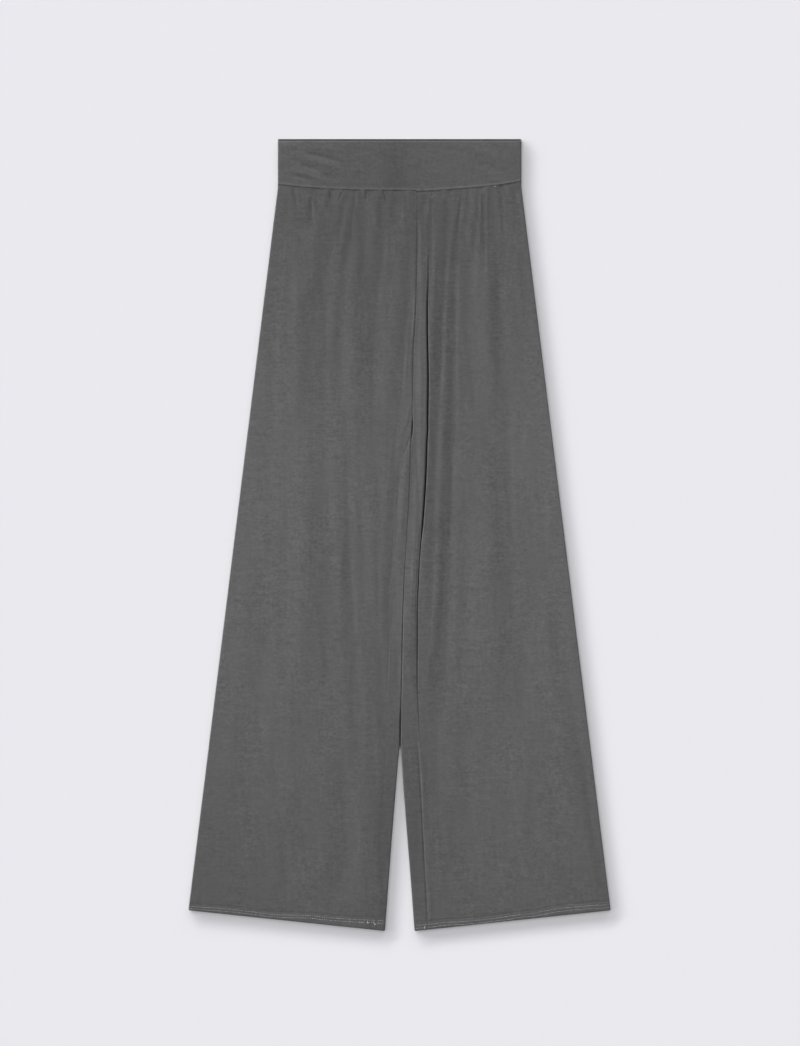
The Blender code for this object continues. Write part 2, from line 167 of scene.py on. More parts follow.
# The deep tuck in the left front: its line, how deep it is from 0 to 1, and how wide against its section below
# The deeper the tuck, the darker the shade painted into its floor.
TUCK = table("y x depth wide", [
    (-536, 40.6, 0, 0.8), (-360, 32.6, 0, 0.8), (-285, 27.1, 0, 0.8), (-257, 25.5, 0.07, 0.8),
    (-229, 24.6, 0.14, 0.8), (-202, 23.6, 0.22, 0.8), (-175, 23.5, 0.3, 0.8), (-148, 23.6, 0.38, 0.8),
    (-121, 23.3, 0.52, 0.8), (-94, 23.1, 0.62, 0.8), (-67, 24.2, 0.9, 0.9), (-40, 25.4, 0.95, 0.9),
    (-13, 27.2, 0.85, 1), (14, 30.3, 0.85, 1), (41, 32.5, 1, 1), (68, 34.2, 1, 1), (95, 35.3, 1, 1),
    (122, 36.1, 1, 1), (149, 36.9, 1, 1), (176, 37.5, 1, 1), (203, 37.9, 1, 1), (230, 37.8, 1, 1),
    (257, 37.2, 0.85, 1), (284, 36.9, 0.8, 1), (311, 36.8, 0.65, 1), (338, 37.9, 0.35, 1), (365, 38.6, 0.12, 1.1),
    (392, 39, 0, 1.2), (470, 39.6, 0, 1.2),
], depth=1, wide=1)
TUCK_FLOOR = 0.0014
# Across the tuck: how far from its line, and how far sunk from 0 to 1
TUCK_WALL = table("beside sunk", [
    (4, 0), (3, 0), (2.4, 0.01), (1.9, 0.05), (1.6, 0.14), (1.4, 0.36), (1.28, 0.66), (1.1, 0.93), (0.7, 1),
], sunk=1)
TUCK_LIP = 0.0030  # the cloth beside the tuck stands up a little, this far from its line
TUCK_LIP_WIDTH = 0.0016
TUCK_LIP_RISE = 0.0002

CLOTH_TONE = 0.1003
THREAD_TONE = 0.27

# Where the cloth is lighter or darker: its own tone and painted shade, in and under the band and between the legs
TONE_AND_PAINTED_LIGHT_PATCHES = table("x y reach_x reach_y change", [
    (-8, 503, 18, 30, -0.12), (-15, -410, 22, 90, -0.13), (-20, -510, 30, 50, -0.1), (18, -430, 26, 90, -0.12),
    (-13.5, 474, 16, 8, -0.09), (40, 420, 50, 50, -0.03), (24, 60, 14, 90, -0.045), (-12, 60, 12, 90, 0.03),
    (61, -240, 16, 80, -0.035),
], change=1)

# How light the cloth is, in thousandths, at heights up the garment and at seven places across it
TONE_ACROSS = [-1.0, -0.7, -0.35, 0.0, 0.35, 0.7, 1.0]
TONE_PLACES = "right_side right_outer right_inner middle left_inner left_outer left_side"
# Part of it is painted light and shade: lighter at the sides, darker in the middle, under the band and at the hems.
TONES_AND_PAINTED_LIGHT = table("y " + TONE_PLACES, [
    (-536, 778, 836, 855, 903, 822, 824, 862),
    (-515, 810, 856, 881, 897, 880, 872, 868),
    (-460, 858, 887, 916, 883, 937, 935, 889),
    (-380, 920, 932, 940, 852, 962, 976, 904),
    (-300, 969, 974, 978, 858, 975, 994, 935),
    (-220, 1027, 1021, 960, 891, 959, 1014, 1002),
    (-140, 1043, 1043, 947, 947, 954, 1017, 1034),
    (-60, 1049, 1055, 962, 963, 949, 1004, 1050),
    (20, 1073, 1065, 984, 952, 935, 1011, 1080),
    (100, 1104, 1067, 1005, 956, 914, 1026, 1110),
    (180, 1076, 1013, 979, 963, 897, 989, 1082),
    (260, 1017, 953, 921, 917, 881, 929, 1025),
    (330, 977, 914, 866, 868, 868, 888, 987),
    (390, 946, 866, 833, 832, 848, 852, 944),
    (440, 887, 808, 810, 802, 826, 813, 868),
    (463, 899, 823, 834, 808, 853, 846, 862),
    (485, 944, 876, 869, 841, 890, 901, 879),
    (518, 975, 919, 888, 872, 911, 932, 886),
    (536, 1061, 998, 937, 945, 972, 1004, 911),
])

# Folds in the fronts: a row for each. Its line runs from the upper end by the middle to the lower end. Here and in
# the next tables, heights are in hundredths of a millimetre.
FOLD = "x_top y_top x_mid x_low y_low width height"
FOLDS = by_leg(FOLD, left=[
    (28.6, 440, 29.7, -5.7, -290, 11.5, 117), (51.6, 470, 47, 41.3, 200, 4.5, 33),
    (67.5, 480, 56.3, 44.4, 40, 4.8, -55), (74, 450, 69.8, 65.4, 360, 5.9, 53),
    (66.7, 400, 59.3, 44.8, -190, 6.9, 91), (76.2, 480, 69.2, 52.8, -320, 14.7, -168),
    (83.1, 380, 79.8, 81.1, 90, 5.3, 44), (77.5, 10, 77.4, 71.5, -200, 5.6, 8),
    (67.4, -200, 69.8, 74.2, -380, 11.9, 55), (95.4, 400, 94.8, 101.5, 155, 8.4, -73),
    (89.8, 60, 89.3, 79.1, -230, 11.3, -80), (91.9, 480, 106.6, 102.5, 320, 4.3, 35),
    (123.9, 420, 120, 126.5, 150, 10.5, 96), (116.9, 180, 121.9, 128.3, -280, 15.7, 97),
    (121.7, 480, 133.5, 141.1, 190, 7.8, -48), (144.4, 230, 149.4, 154.5, -170, 8.4, -38),
    (136.6, 490, 139.7, 142.3, 390, 4.4, -40), (154.9, 490, 155.9, 156.7, 420, 3.2, -11),
    (149.6, 410, 157.7, 165.4, 280, 8.2, 28), (173.5, 180, 180.4, 184.4, 40, 7.8, 18),
    (198.4, 80, 201.9, 199.7, -40, 7.6, 24), (170, 10, 170.6, 168.6, -120, 7.3, 7),
    (164.5, -110, 168.7, 171.9, -240, 9.5, -37), (199.7, -70, 200.1, 218.9, -260, 9, 34),
    (212.7, -230, 234.4, 268.1, -480, 13.9, 64), (201.1, -50, 234.5, 267.4, -430, 7.2, -31),
    (113.1, -230, 117.2, 109.7, -360, 8.7, -18), (167, -250, 171.8, 171.5, -350, 8.9, 18),
    (145.9, -270, 145.9, 144.5, -430, 7.3, -12), (202.8, -290, 209.7, 222.3, -460, 9.3, -12),
    (161.1, -330, 167.2, 168.4, -440, 8.7, 24), (87.7, -260, 93.3, 101.3, -430, 6.7, -18),
    (60.2, -370, 58.5, 52.6, -500, 10.1, 46), (75.1, -410, 73.1, 67, -500, 7, 2),
    (117.9, -410, 115.5, 109.9, -500, 8.2, 11),
], right=[
    (10.9, 470, -5.1, -25.4, 130, 8.8, 53), (-13.3, 120, -21.8, -20.9, -170, 6.6, 48),
    (5.6, 320, -3.8, -21.5, -220, 7.7, -51), (-17.2, 450, -32.8, -31.4, 150, 9.8, -73),
    (-31, 480, -32.3, -33.3, 340, 6.1, 37), (-47.4, 480, -48.2, -48.5, 330, 6.6, -51),
    (-66.4, 420, -59.7, -58.4, 80, 10.7, 65), (-58.4, 440, -80, -78.2, 150, 7.8, -65),
    (-71.1, 180, -66.1, -54.4, -320, 7.5, -55), (-83.1, 480, -79.6, -97.8, 230, 10.9, 44),
    (-94.8, 180, -81.3, -74.5, -290, 5.5, 11), (-99.7, 450, -101.1, -87.7, -280, 10.8, -57),
    (-79, -280, -72.8, -78.7, -510, 16, -85), (-109.3, 440, -119.3, -124.5, 300, 13.1, 71),
    (-138.8, 370, -136.4, -139.7, 140, 10.9, 71), (-135.2, 160, -129.3, -136, -220, 13.1, 68),
    (-149.4, -190, -148.9, -151, -420, 11.2, 26), (-163.3, 390, -171.3, -175.9, 10, 9.3, -32),
    (-154.3, 30, -156.7, -154.2, -190, 7.4, -17), (-177.4, -100, -186.4, -190.6, -300, 10.4, -40),
    (-199.7, 10, -216.5, -241.8, -390, 10.7, 27), (-38.2, 70, -36.1, -34.7, -130, 7, 40),
    (-51.1, 70, -51.4, -45.8, -100, 5.3, -24), (-45.2, -110, -42, -52.2, -510, 11.5, 21),
    (-134.1, -350, -134.7, -117.6, -460, 8.3, -18), (-99.9, -350, -99.6, -95.4, -460, 7.6, 12),
    (-157.1, -430, -154.9, -158.4, -505, 8.4, -32),
], height=HUNDREDTHS_OF_MM)

# Folds pressed up into the backs, which lie on the ground
BACK_FOLDS = by_leg(FOLD, left=[
    (42, 455, 46, 50, 90, 8, 90), (76, 465, 83, 90, -60, 10, 100), (108, 450, 118, 130, 120, 8, 80),
    (142, 440, 156, 175, -120, 11, 90), (64, 40, 70, 66, -380, 9, 80), (128, -20, 142, 150, -440, 12, 100),
    (200, -60, 220, 242, -470, 9, 70),
], right=[
    (-28, 450, -33, -36, 140, 8, 90), (-60, 465, -68, -72, -40, 10, 100), (-98, 455, -106, -112, 160, 7, 80),
    (-130, 430, -148, -160, -80, 11, 90), (-52, 10, -56, -50, -400, 9, 80), (-106, 60, -122, -126, -420, 11, 100),
    (-188, -40, -208, -230, -460, 10, 70),
], height=HUNDREDTHS_OF_MM)
FOLD_EASE = 0.22
FOLD_WANDER = 0.0004  # how far a fold's line strays from its smooth curve
FOLD_WANDER_LENGTH = 0.11
FOLD_UNEVEN = 0.12  # share by which its height varies along it
FOLD_UNEVEN_LENGTH = 0.13
HEM_EASE = 0.050
FOLDS_AT_HEM = 0.35  # share of a fold's height that is left at the hem
RIPPLE_HEIGHTS = (0.00006, 0.00005, 0.00004)

# Short creases and gathers in the fronts, by length and width: place of the middle, height, and how far each leans
# to the left, in hundredths of the way down
CREASE_PLACES = {
    (200, 4.2): [
        (-141.9, 422, 15, 12), (17.6, 408, 18, 5), (40.5, 341, -46, -5), (66.2, 341, 21, 12), (-140.5, 314, 17, 0),
        (-158.1, 296, 15, -5), (-79.7, 288, 15, -5), (4.1, 268, 16, 0), (23, 258, -62, -5), (136.5, 253, 19, 12),
        (63.5, 227, -21, -5), (-13.5, 223, -19, -12), (37.8, 196, -30, 12), (18.9, 126, -28, -5),
        (-14.9, 123, -17, -5), (24.3, 58, -73, 5), (87.8, 58, -13, 0), (12.2, 48, 12, 0), (14.9, 27, -43, -5),
        (75.7, 27, 14, 0), (-4.1, -33, 17, -12), (36.5, -52, 26, -5), (1.4, -62, 20, 12), (17.6, -93, -22, -12),
        (-95.9, -96, 17, 12), (59.4, -112, 17, -5), (24.3, -124, -27, 0), (-62.1, -179, 17, 5),
        (-182.4, -196, 13, 12), (108.1, -240, 15, 12), (-29.7, -285, 15, 5), (16.2, -304, 16, 12),
        (74.3, -381, -15, 12), (-20.3, -424, -13, 0), (-29.7, -450, 21, 5),
    ],
    (200, 3): [
        (132.4, 414, 14, 5), (-16.2, 404, 12, -5), (82.4, 392, 14, -5), (50, 377, -16, 0), (-100, 296, -11, 0),
        (59.4, 90, -14, -5), (145.9, 21, 15, 12), (58.1, -19, -10, 0), (-27, -132, -14, 5), (33.8, -298, 12, 5),
        (24.3, -371, -10, 0),
    ],
    (200, 2.2): [(117.5, 422, 21, 0), (28.4, 172, 18, 0), (17.6, 160, 27, 5), (1.4, 10, 14, 0)],
    (200, 1.6): [
        (23, 437, 23, 0), (-8.1, 133, 8, -12), (-4.1, 73, 10, -5), (9.5, 15, 15, -5), (17.6, -59, 15, -5),
        (44.6, -63, -10, -5), (-1.4, -94, 12, 0), (1.4, -198, 20, -5), (24.3, -236, 19, 5), (29.7, -374, -55, 5),
    ],
    (130, 4.2): [
        (97.3, 427, 25, -12), (-4.1, 371, 16, 12), (-29.7, 362, 16, -12), (-41.9, 350, -14, 5), (29.7, 333, 15, -12),
        (9.5, 288, -17, -12), (-41.9, 180, 19, 5), (-116.2, 161, -13, 0), (1.4, 139, 32, -5), (-8.1, 122, -24, -12),
        (-83.8, 111, -17, 12), (-52.7, 104, -23, 5), (155.4, 76, 15, 5), (-135.1, 68, -17, 12), (47.3, 64, -15, -5),
        (5.4, 57, 46, -5), (-78.4, -27, 19, -5), (-66.2, -39, -21, 5), (79.7, -162, -23, 12), (0, -200, -32, 12),
        (-71.6, -279, 21, 12), (-45.9, -285, 14, 0), (50, -297, -16, 5), (227, -323, -16, 12), (255.3, -360, -24, 12),
        (-43.2, -462, -21, 12),
    ],
    (130, 3): [
        (66.2, 393, -13, -12), (68.9, 84, -14, -12), (64.8, 41, 36, -5), (31.1, -332, 40, 5), (28.4, -390, -14, -12),
        (39.2, -467, 33, 5),
    ],
    (130, 2.2): [
        (-62.1, 445, -17, -12), (24.3, 371, -52, 0), (33.8, 326, -22, -5), (78.4, 254, 14, 0), (50, 158, 13, -5),
        (1.4, -173, 37, 0),
    ],
    (130, 1.6): [(12.2, -27, 15, -5), (4.1, -96, 36, -5), (-14.9, -164, -22, -5), (1.4, -175, -14, 5)],
    (80, 4.2): [
        (-79.7, 422, -35, -12), (-91.9, 387, -14, -22), (-10.8, 234, -23, 22), (120.2, 212, -18, 0),
        (-24.3, 185, -17, -12), (71.6, 167, 22, 5), (-13.5, -29, 27, -12), (24.3, -44, -40, 12),
        (151.3, -119, 32, 22), (39.2, -177, 28, -12), (17.6, -213, 41, 12), (-217.5, -228, -18, 5),
        (-150, -235, 18, 5), (121.6, -360, 17, 5), (267.5, -431, -45, 22), (43.2, -439, 28, 12), (258, -439, 31, 22),
    ],
    (80, 3): [(-141.9, 464, -36, 22), (56.7, 231, -20, -5), (32.4, -36, 22, 0), (-9.5, -54, 16, -12)],
    (80, 2.2): [(108.1, 426, 38, 0), (66.2, 303, -15, -5)],
    (80, 1.6): [
        (37.8, 357, 41, 0), (18.9, 291, 52, -5), (18.9, 241, -26, 0), (9.5, 239, 20, -5), (4.1, 218, -25, -5),
        (14.9, 134, 27, -5), (29.7, -383, 35, 5), (36.5, -495, -32, 5),
    ],
    (64, 1.4): [(1.2, 155, -22, -9)],
    (48, 4.2): [
        (-100, 458, 29, -22), (12.2, 457, 27, 5), (156.7, 450, -45, 22), (-5.4, 433, -31, 22), (-120.2, 429, -44, 5),
        (40.5, 411, -28, 0), (100, 184, -21, -5), (25.7, 26, 46, 22), (129.7, -101, -24, 12),
    ],
    (48, 3): [(37.8, 441, 25, -5), (-67.5, -179, 21, -5), (-36.5, -421, 22, -5)],
    (48, 2.2): [(79.7, 431, -25, -12), (10.8, 162, 32, -22)],
    (42, 3.6): [
        (-113.5, 460, -31, 25), (-131, 437, 33, 25), (-117.5, 429, -18, 0), (-54, 426, -21, 25), (143.2, 414, 15, 12),
        (63.5, 406, 17, 0),
    ],
    (42, 2.6): [(87.8, 450, 21, -12), (-77, 423, -21, -12), (-33.8, 411, -20, 25)],
    (42, 1.9): [
        (73, 458, 10, -12), (140.5, 453, 18, 12), (78.4, 442, 15, -12), (-24.3, 433, -13, 0), (5.4, 430, 17, 0),
        (101.3, 398, -10, -12),
    ],
    (42, 1.4): [(109.4, 446, 19, 0), (43.2, 430, -16, 0), (110.8, 420, 23, 0), (135.1, 418, 14, 0)],
    (36, 1.2): [(8.8, 119, -28, -39)],
    (34, 1.8): [(-119.2, 442, -34, 5)],
    (28, 3.6): [
        (-27, 461, 18, -25), (159.4, 461, -22, 0), (-45.9, 460, 42, 40), (64.8, 458, 44, 60), (-90.5, 457, -40, 25),
        (66.2, 456, -22, -25), (-71.6, 450, -18, -40), (-152.7, 446, -19, 12), (32.4, 442, -29, 0), (0, 441, -32, 60),
        (98.6, 426, 23, 0), (118.9, 411, 23, 25), (-82.4, 406, -27, 60), (-6.8, 388, 18, 0),
    ],
    (28, 3): [(71.6, 261, 25, -5)],
    (28, 2.6): [(114.8, 388, -17, -25)],
    (28, 2.2): [(14.9, 96, -34, 5)],
    (28, 1.9): [
        (120.2, 468, 20, 0), (-16.2, 441, 30, 40), (106.7, 435, -15, 0), (28.4, 407, 21, 12), (-64.8, 406, -14, 0),
    ],
    (28, 1.4): [
        (-23, 460, 38, 40), (-133.7, 443, -38, 60), (37.8, 399, -14, 0), (-98.6, 393, 61, 60), (25.7, 391, -26, 12),
    ],
    (26, 1.6): [(-141.8, 455, -38, 31)],
    (22, 1.4): [(-19, 454, -38, 45)],
    (20, 1.4): [(-132.5, 447, -34, 20)],
    (18, 3.6): [(116.2, 466, 21, -60), (-79.7, 461, 20, -12), (83.8, 445, -27, 40)],
    (18, 1.4): [(-60.8, 449, -25, 0), (36.5, 446, -24, 12)],
    (16, 3): [(-48.6, 461, 45, 34)],
    (16, 1.6): [(-93.8, 457, -40, 0)],
    (16, 1.5): [(-80.6, 457, -36, -45)],
    (14, 1.4): [(-45.6, 457, -38, 0)],
    (12, 3.6): [(43.2, 462, -33, 40), (-125.6, 454, 19, -25)],
    (12, 1.9): [(167.5, 391, 26, 0)],
}
CREASES = table("x y height lean length width", [
    place + size for size, places in CREASE_PLACES.items() for place in places
], height=HUNDREDTHS_OF_MM, lean=100)
CREASE_EASE = 0.6
GATHERED = 0.445  # above this height the creases are gathers, which show in the band too

# How the backs swell above the ground, less so near the band, and the ridge along their seam with it
BACK_SWELL = 0.0003
BACK_SWELL_LENGTH = 0.05
BACK_SWELL_FROM = 0.004
BACK_SWELL_EASE = 0.05
BACK_RIDGE = 0.0004
BACK_RIDGE_WIDTH = 0.0012

# Wrinkles in the waistband's front: from one end to the other, width and height
WRINKLES = table("x_from y_from x_to y_to width height", [
    (-133, 516.5, -71, 500.5, 2.4, -65), (-137, 501, -106, 488.6, 2.7, -74), (-149, 486, -118, 476.8, 2.1, -60),
    (-108, 486, -79, 476.6, 2.2, -37), (-150, 507, -132, 501, 2.2, -33), (-150, 494, -86, 471.2, 2, 41),
    (-138, 510, -70, 489, 2.4, 37), (-160, 528, -132, 520.5, 2.6, 37), (-118, 524, -82, 517, 2.6, 28),
    (40, 524, 90, 514, 3.4, -28), (90, 503, 150, 488, 3.8, -33), (120, 480, 140, 476, 1.9, 33),
], height=HUNDREDTHS_OF_MM)
WRINKLE_BOW = 0.0012
WRINKLE_EASE = 0.35
BAND_GATHERS = 0.25  # share of the gathers' height that goes on into the band, this far
BAND_GATHERS_REACH = 0.008
BAND_RIPPLE_STRETCH = 1.7
BAND_RIDGE = 0.0004  # along the front's seam, this far above it
BAND_RIDGE_UP = 0.0006
BAND_RIDGE_WIDTH = 0.0014
BAND_BACK_RIDGE = 0.0003
BAND_BACK_RIDGE_WIDTH = 0.0012
BAND_TOP_EASE = 0.004
# Painted shade on the band's turned top edge and inner ply: strong on the back, slight on the front
BAND_INSIDE_SHADE = 0.50
BAND_EDGE_SHADE = 0.12

# The hems' twin stitching: how far above the edge, at places across each leg from its inner side to its outer one
STITCHING = by_leg("x above", left=[
    (20, 3.4), (43, 3), (62, 3.3), (82, 2.1), (99, 1.6), (134, 1.9), (166, 3.2), (182, 2.9), (200, 4.8), (234, 5.7),
    (246, 5.1), (258, 5.2), (274, 4.2), (285, 3.6),
], right=[
    (20, 10.4), (43, 9.2), (53, 8.5), (70, 7.6), (92, 6.7), (124, 6.4), (149, 4.6), (166, 3.2), (208, 3.7),
    (235, 3.9), (270, 2.6), (285, 2.2),
])
NEEDLE_GAP = {"left": 0.0040, "right": 0.0034}
STITCH_PITCH = 0.0032
STITCH_LENGTH = 0.0025
STITCH_FROM = 0.001  # where a row's first stitch starts
STITCH_UNEVEN = 0.0006  # how much stitches differ in length
STITCH_STRAY = 0.00022  # how far they stray from their row
STITCH_FADE = 0.45  # share by which some are duller
THREAD = 0.00042
THREAD_FLAT = 0.8  # how high a stitch is against its width
STITCH_GROOVE = 0.00016
STITCH_GROOVE_WIDTH = 0.0007
TURN_DIP = 0.0002  # where the turned-up ply ends, above the stitching
TURN_DIP_WIDTH = 0.0011

# Short stitches that finish off the seams, from one end to the other, and how light each is
FINISHING_REACH = 0.0026  # how far round its end a stitch rests on the cloth
FINISHINGS = by_leg("x_from y_from x_to y_to tone", left=[
    (127.4, 469.6, 128.4, 471, 1.2), (128, 470.8, 129.2, 469.8, 1), (33.4, -526.6, 33.2, -531.2, 1.1),
    (31.8, -528.4, 35, -528.8, 1.1), (32.2, -530.2, 34.6, -530.6, 0.9), (34.4, -527, 35.2, -528.2, 0.7),
], right=[
    (-44.7, -520.6, -42.8, -520.2, 0.9), (-44.6, -522.4, -42, -522.1, 1.1), (-44, -524.3, -41.6, -523.8, 0.9),
    (-43.6, -521, -43.7, -525.2, 1.1), (-41, -521.2, -40.8, -523.6, 0.8), (-36.4, -522.2, -34.4, -521.4, 0.8),
    (-35.8, -524, -33, -523.2, 1.1), (-34.6, -525.8, -31.8, -525, 1), (-33.8, -522.2, -33.4, -526.8, 1),
    (-31.6, -522.6, -30, -524, 0.8), (-31.2, -526.2, -30, -527.2, 0.7), (-107.8, 467.2, -106.2, 467.8, 0.7),
    (-106.6, 468.2, -105, 467.6, 0.6),
], tone=1)

# Mesh: rows up the legs, so many from one height to the next, and columns across them
ZONES = [
    (HEM_INNER + 0.018, 44),
    (SPLIT, 70),
    (CROTCH - 0.060, 22),
    (CROTCH + CROTCH_EASE, 56),
    (BAND_SEAM_MIDDLE - 0.014, 0),
]
BACK_ROW_SHARE = 0.62
TURN_ROWS = (HEM_TURN, 0.009, 0.005)  # on the turned-up ply, above the edge
TURN_STEPS = 6
HEM_ROWS = (0.0019, 0.0175)  # close rows from here to there above the edge
SEAM_ROWS = 0.013  # and this far below the band's seam
EDGE_STEP = 0.0010
SEAM_STEPS = [0.0, 0.0003, 0.0007, 0.0012, 0.0018, 0.0026, 0.0035]
INNER_COLUMNS = 9
FRONT_COLUMNS = {"left": 164, "right": 196}
COLUMN_SPREAD = 1.12
SIDE_STEPS = 7
BACK_COLUMNS = 70
FOLD_COLUMNS = 14
STRIP_COLUMNS = 14
STRIP_SPREAD = 1.5
STITCH_ROWS = 22  # rows that reach past the stitching
BAND_LOW_ROWS = [0.0, 0.006, 0.013, 0.022, 0.033]  # shares of the way up the band, close above its seam
BAND_HIGH_ROWS = (0.045, 0.965)  # then evenly from here to there
BAND_ROWS = 34
BAND_INNER_TOP = 0.95
BAND_INNER_ROWS = 9
BAND_FRONT_COLUMNS = 170
BAND_BACK_COLUMNS = 60
BAND_FOLD_STEPS = 14
SETTLE_ROUNDS = 5
MERGE = 1e-7
SHARP = math.radians(50)


def ease(t):
    t = np.clip(t, 0.0, 1.0)
    return t * t * (3 - 2 * t)


def mix(a, b, t):
    return a + (b - a) * t


def bump(distance, width):
    return np.exp(-((distance / width) ** 2))


def smooth_line(stations, field, at, along="y"):
    """A table's field on a smooth curve through its rows."""
    places = np.array([getattr(row, along) for row in stations])
    values = np.array([getattr(row, field) for row in stations])
    slopes = np.gradient(values, places)
    at = np.clip(at, places[0], places[-1])
    after = np.clip(np.searchsorted(places, at), 1, len(places) - 1)
    before = after - 1
    span = places[after] - places[before]
    t = (at - places[before]) / span
    start = values[before] * (1 + 2 * t) * (1 - t) ** 2 + slopes[before] * span * t * (1 - t) ** 2
    end = values[after] * t * t * (3 - 2 * t) - slopes[after] * span * t * t * (1 - t)
    return start + end


def outer_edge(leg, y):
    down = np.clip((SIDE_CORNER - y) / (SIDE_CORNER - HEM_OUTER), 0.0, None)
    return mix(WAIST_HALF[leg], HEM_HALF[leg], down)


def inner_edge(leg, y):
    below = SPLIT - y
    mouth = MOUTH_HALF * ease(below / MOUTH_EASE) * ease(1 - below / MOUTH_REACH)
    spread = INNER_CORNER[leg] * np.clip(below / (SPLIT - HEM_INNER), 0.0, 1.0) ** SPREAD_BEND
    return smooth_line(CENTRE_LINE, "x", y) + SIDE[leg] * (spread + mouth)


def leg_width(leg, y):
    return outer_edge(leg, y) - SIDE[leg] * inner_edge(leg, y)


def hem_line(out, width):
    """How far down a leg's hem lies, at a distance out from the leg's inner edge."""
    return mix(HEM_INNER, HEM_OUTER, np.clip(out / width, 0, 1))


def slit(y, out, z):
    """How far a leg's inner edge draws back above the ground, where a dark slit shows between the legs."""
    drawn = SLIT_HALF * ease((SLIT_TOP - y) / SLIT_EASE) * ease(1 - (SPLIT - y) / MOUTH_EASE)
    drawn += NICK_HALF * bump(y - NICK, NICK_REACH)
    return drawn * ease((z - SLIT_FLOOR) / SLIT_BANK) * np.clip(1 - out / SLIT_REACH, 0, 1)


def band_seam(x):
    across = np.minimum(np.abs(x) / WAIST_HALF["right"], 1.0)
    rise = np.where(x > 0, BAND_SEAM_RISE["left"], BAND_SEAM_RISE["right"])
    jog = BAND_JOG * ease((x - BAND_JOG_FROM) / BAND_JOG_WIDTH)
    jog = jog * (1 - ease((x - BAND_JOG_FROM - BAND_JOG_WIDTH) / BAND_JOG_END))
    return BAND_SEAM_MIDDLE + rise * across**BAND_SEAM_BEND - jog


def wave(seed, at, length):
    """An uneven ripple between -1 and 1, different for each seed."""
    turn = at * 2 * math.pi / length
    return 0.6 * np.sin(turn + 7.3 * seed) + 0.4 * np.sin(2.17 * turn + 3.1 * seed)


def fold_height(fold, x, y):
    """How far one fold lifts or sinks the cloth at (x, y)."""
    seed = fold.x_top * 97 + fold.y_low * 31
    down = (fold.y_top - y) / (fold.y_top - fold.y_low)
    bow = 4 * down * (1 - down)
    line = mix(fold.x_top, fold.x_low, down) + bow * (fold.x_mid - (fold.x_top + fold.x_low) / 2)
    line += FOLD_WANDER * wave(seed, y, FOLD_WANDER_LENGTH)
    ends = ease(down / FOLD_EASE) * ease((1 - down) / FOLD_EASE)
    size = 1 + FOLD_UNEVEN * wave(seed + 1, y, FOLD_UNEVEN_LENGTH)
    return fold.height * size * ends * bump(x - line, fold.width)


def crease_height(crease, x, y):
    ends = ease((1 - np.abs(y - crease.y) / (crease.length / 2)) / CREASE_EASE)
    return crease.height * ends * bump(x - crease.x - crease.lean * (crease.y - y), crease.width)


def ripples(x, y):
    """The slight unevenness of cloth that was smoothed out by hand: waves that run upright, aslant and across."""
    upright, aslant, across = RIPPLE_HEIGHTS
    lean = x + 0.12 * y
    height = upright * wave(0.3, lean, 0.031) * (1 + 0.6 * wave(0.9, y, 0.23))
    height += aslant * wave(1.7, lean - 0.3 * y, 0.047) * wave(2.2, y + 0.4 * x, 0.17)
    return height + across * wave(2.9, y + 0.25 * x, 0.055) * wave(4.1, x - 0.2 * y, 0.12)


def over_stitching(leg, x, over_hem):
    """How far up from the hem's lower row of stitching."""
    return over_hem - smooth_line(STITCHING[leg], "above", np.abs(x), "x")


def stitch_grooves(leg, up):
    """How far the hem's two rows of stitching press in the cloth."""
    return STITCH_GROOVE * sum(bump(up - row, STITCH_GROOVE_WIDTH) for row in (0, NEEDLE_GAP[leg]))


def relief(leg, x, y, over_hem, from_seam):
    """How far a leg's front is lifted at (x, y)."""
    height = sum(fold_height(fold, x, y) for fold in FOLDS[leg])
    height = height * mix(FOLDS_AT_HEM, 1.0, ease(over_hem / HEM_EASE)) + ripples(x, y)
    height += sum(crease_height(crease, x, y) for crease in CREASES)
    groove = smooth_line(INSEAM_GROOVE[leg], "depth", y)
    groove = mix(groove, FRONT_SEAM_GROOVE, ease((y - CROTCH) / CROTCH_EASE))
    height -= groove * bump(from_seam, SEAM_GROOVE_WIDTH)
    up = over_stitching(leg, x, over_hem)
    height = height - stitch_grooves(leg, up) - TURN_DIP * bump(up - 2 * NEEDLE_GAP[leg], TURN_DIP_WIDTH)
    if leg == "left":
        beside = x - smooth_line(TUCK, "x", y) + TUCK_LIP
        height += TUCK_LIP_RISE * smooth_line(TUCK, "depth", y) * bump(beside, TUCK_LIP_WIDTH)
    return height


def back_relief(leg, x, y, over_hem, under_band):
    """How far a leg's back is pressed up from the ground."""
    height = sum(fold_height(fold, x, y) for fold in BACK_FOLDS[leg]) * ease(over_hem / HEM_EASE)
    swell = BACK_SWELL * (1 + wave(0.6, x + 0.1 * y, BACK_SWELL_LENGTH))
    height += swell * ease((under_band - BACK_SWELL_FROM) / BACK_SWELL_EASE)
    height += BACK_RIDGE * bump(under_band, BACK_RIDGE_WIDTH)
    height -= sum(crease_height(crease, -x, y) for crease in CREASES)
    height += 2 * stitch_grooves(leg, over_stitching(leg, x, over_hem))
    return np.maximum(height, 0.0)


def tone_and_painted_light_at(x, y):
    """How light the cloth is at (x, y), about 1: its own tone and painted broad light and shade."""
    across = np.clip(x / outer_edge("left", y), -1, 1)
    tone = 0
    for place, peak in zip(TONE_PLACES.split(), np.eye(len(TONE_ACROSS))):
        tone += smooth_line(TONES_AND_PAINTED_LIGHT, place, y) * np.interp(across, TONE_ACROSS, peak)
    for patch in TONE_AND_PAINTED_LIGHT_PATCHES:
        tone = tone * (1 + patch.change * bump(x - patch.x, patch.reach_x) * bump(y - patch.y, patch.reach_y))
    return tone


def turned_edge():
    """Rows round a turned edge, inner ply first: (distance in from the edge, inset)."""
    turn = PLY_STEP / 2
    axis = CLOTH / 2 + turn
    return [(axis - turn * math.sin(a), turn - turn * math.cos(a)) for a in np.linspace(math.pi, 0, TURN_STEPS + 1)]


